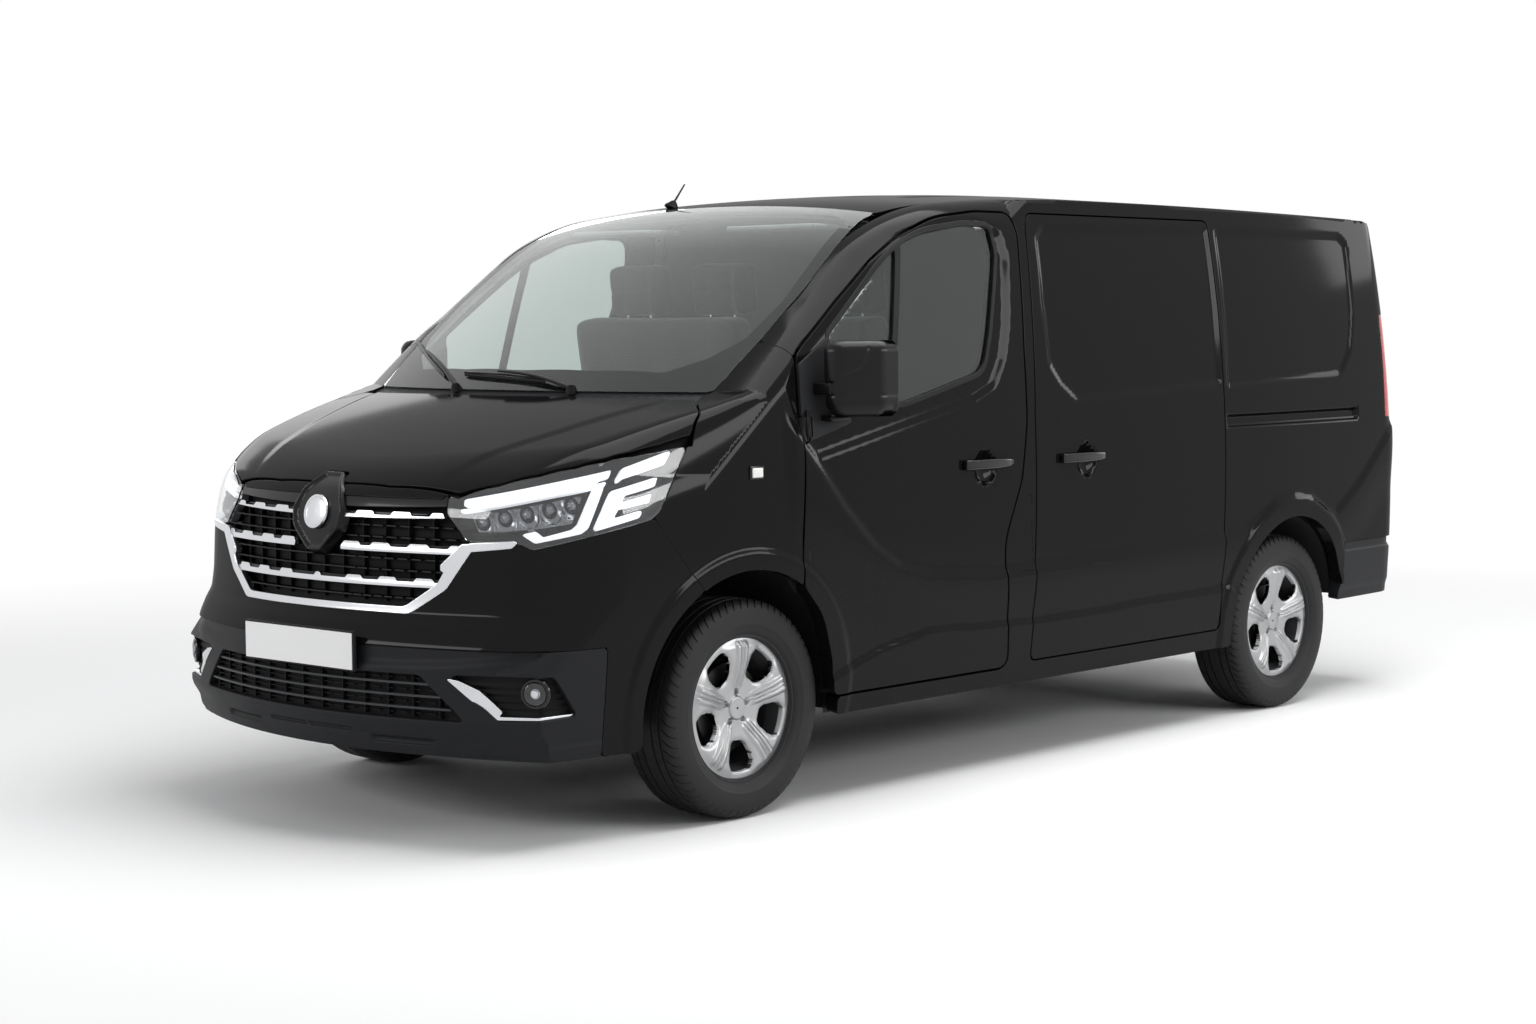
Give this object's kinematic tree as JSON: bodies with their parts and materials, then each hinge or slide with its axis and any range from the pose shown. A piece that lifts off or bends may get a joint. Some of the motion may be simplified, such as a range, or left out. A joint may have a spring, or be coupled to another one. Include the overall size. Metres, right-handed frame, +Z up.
{
  "type": "panel van",
  "caption": "Short-wheelbase low-roof panel van with hinged front and rear doors, opening bonnet, steered front wheels and turning wheels.",
  "frame": {"origin": "on the ground, on the centreline, midway between the two ends", "axes": "+Y towards the rear, +X to the van's left side, +Z up"},
  "size_m": [2.28, 5.0943, 2.0417],
  "materials": {
    "paint": "gloss",
    "red_lamp": "gloss",
    "glass": "clear",
    "trim": "grained",
    "lamp": "clear",
    "chrome": "satin",
    "plate": "gloss",
    "chassis": "satin",
    "cab_trim": "grained",
    "seat_fabric": "woven",
    "engine": "cast",
    "black_plastic": "gloss",
    "steel": "dull",
    "iron": "cast",
    "alloy": "painted silver",
    "tyre": "matt"
  },
  "bodies": {
    "van": {"body_side_left": "paint", "body_side_right": "paint", "tail_lamps": "red_lamp", "sliding_doors": "paint", "front_wings": "paint", "windscreen": "glass", "scuttle": "trim", "roof": "paint", "headlamps": "lamp", "front_bumper": "paint", "bumper_insert": "trim", "grille": "chrome", "rear_bumper": "trim", "number_plates": "plate", "fog_lamps": "lamp", "wipers": "trim", "aerial": "trim", "floor_pan": "chassis", "wheelhouses": "chassis", "bulkhead": "cab_trim", "dashboard": "cab_trim", "driver_seat": "seat_fabric", "passenger_bench": "seat_fabric", "engine_block": "engine", "front_subframe": "chassis", "rear_axle": "chassis", "fuel_tank": "black_plastic", "exhaust": "steel"},
    "front_door_left": {"front_door_left": "paint", "door_glass_left": "glass", "mirror_left": "black_plastic"},
    "front_door_right": {"front_door_right": "paint", "door_glass_right": "glass", "mirror_right": "black_plastic"},
    "rear_door_left": {"rear_door_left": "paint"},
    "rear_door_right": {"rear_door_right": "paint"},
    "bonnet": {"bonnet": "paint"},
    "knuckle_left": {"knuckle_left": "iron"},
    "knuckle_right": {"knuckle_right": "iron"},
    "steering_wheel": {"steering_wheel": "cab_trim"},
    "wheel_front_left": {"rim_front_left": "alloy", "tyre_front_left": "tyre"},
    "wheel_front_right": {"rim_front_right": "alloy", "tyre_front_right": "tyre"},
    "wheel_rear_left": {"rim_rear_left": "alloy", "tyre_rear_left": "tyre"},
    "wheel_rear_right": {"rim_rear_right": "alloy", "tyre_rear_right": "tyre"}
  },
  "joints": [
    {"name": "front_door_left_hinge", "type": "hinge", "parent": "van", "child": "front_door_left", "pos_m": [0.968, -1.3, 1], "axis": [0, 0, -1], "range_deg": [0, 65]},
    {"name": "front_door_right_hinge", "type": "hinge", "parent": "van", "child": "front_door_right", "pos_m": [-0.968, -1.3, 1], "axis": [0, 0, 1], "range_deg": [0, 65]},
    {"name": "rear_door_left_hinge", "type": "hinge", "parent": "van", "child": "rear_door_left", "pos_m": [0.805, 2.4895, 1.04], "axis": [0, 0.0555, -0.9985], "range_deg": [0, 180]},
    {"name": "rear_door_right_hinge", "type": "hinge", "parent": "van", "child": "rear_door_right", "pos_m": [-0.805, 2.4895, 1.04], "axis": [0, -0.0555, 0.9985], "range_deg": [0, 180]},
    {"name": "bonnet_hinge", "type": "hinge", "parent": "van", "child": "bonnet", "pos_m": [0, -1.62, 1.285], "axis": [-1, 0, 0], "range_deg": [0, 45]},
    {"name": "steer_left", "type": "hinge", "parent": "van", "child": "knuckle_left", "pos_m": [0.7, -1.526, 0.343], "axis": [-0.2079, 0, 0.9781], "range_deg": [-36, 36]},
    {"name": "steer_right", "type": "hinge", "parent": "van", "child": "knuckle_right", "pos_m": [-0.7, -1.526, 0.343], "axis": [0.2079, 0, 0.9781], "range_deg": [-36, 36]},
    {"name": "steering_wheel_turn", "type": "hinge", "parent": "van", "child": "steering_wheel", "pos_m": [0.42, -0.89, 1.25], "axis": [0, 0.848, 0.5299], "range_deg": [-540, 540]},
    {"name": "wheel_front_left_spin", "type": "hinge", "parent": "knuckle_left", "child": "wheel_front_left", "pos_m": [0.8075, -1.526, 0.343], "axis": [1, 0, 0], "continuous": true},
    {"name": "wheel_front_right_spin", "type": "hinge", "parent": "knuckle_right", "child": "wheel_front_right", "pos_m": [-0.8075, -1.526, 0.343], "axis": [1, 0, 0], "continuous": true},
    {"name": "wheel_rear_left_spin", "type": "hinge", "parent": "van", "child": "wheel_rear_left", "pos_m": [0.814, 1.572, 0.343], "axis": [1, 0, 0], "continuous": true},
    {"name": "wheel_rear_right_spin", "type": "hinge", "parent": "van", "child": "wheel_rear_right", "pos_m": [-0.814, 1.572, 0.343], "axis": [1, 0, 0], "continuous": true}
  ],
  "couplings": [
    {"joint": "steer_right", "follows": "steer_left", "ratio": 1}
  ]
}
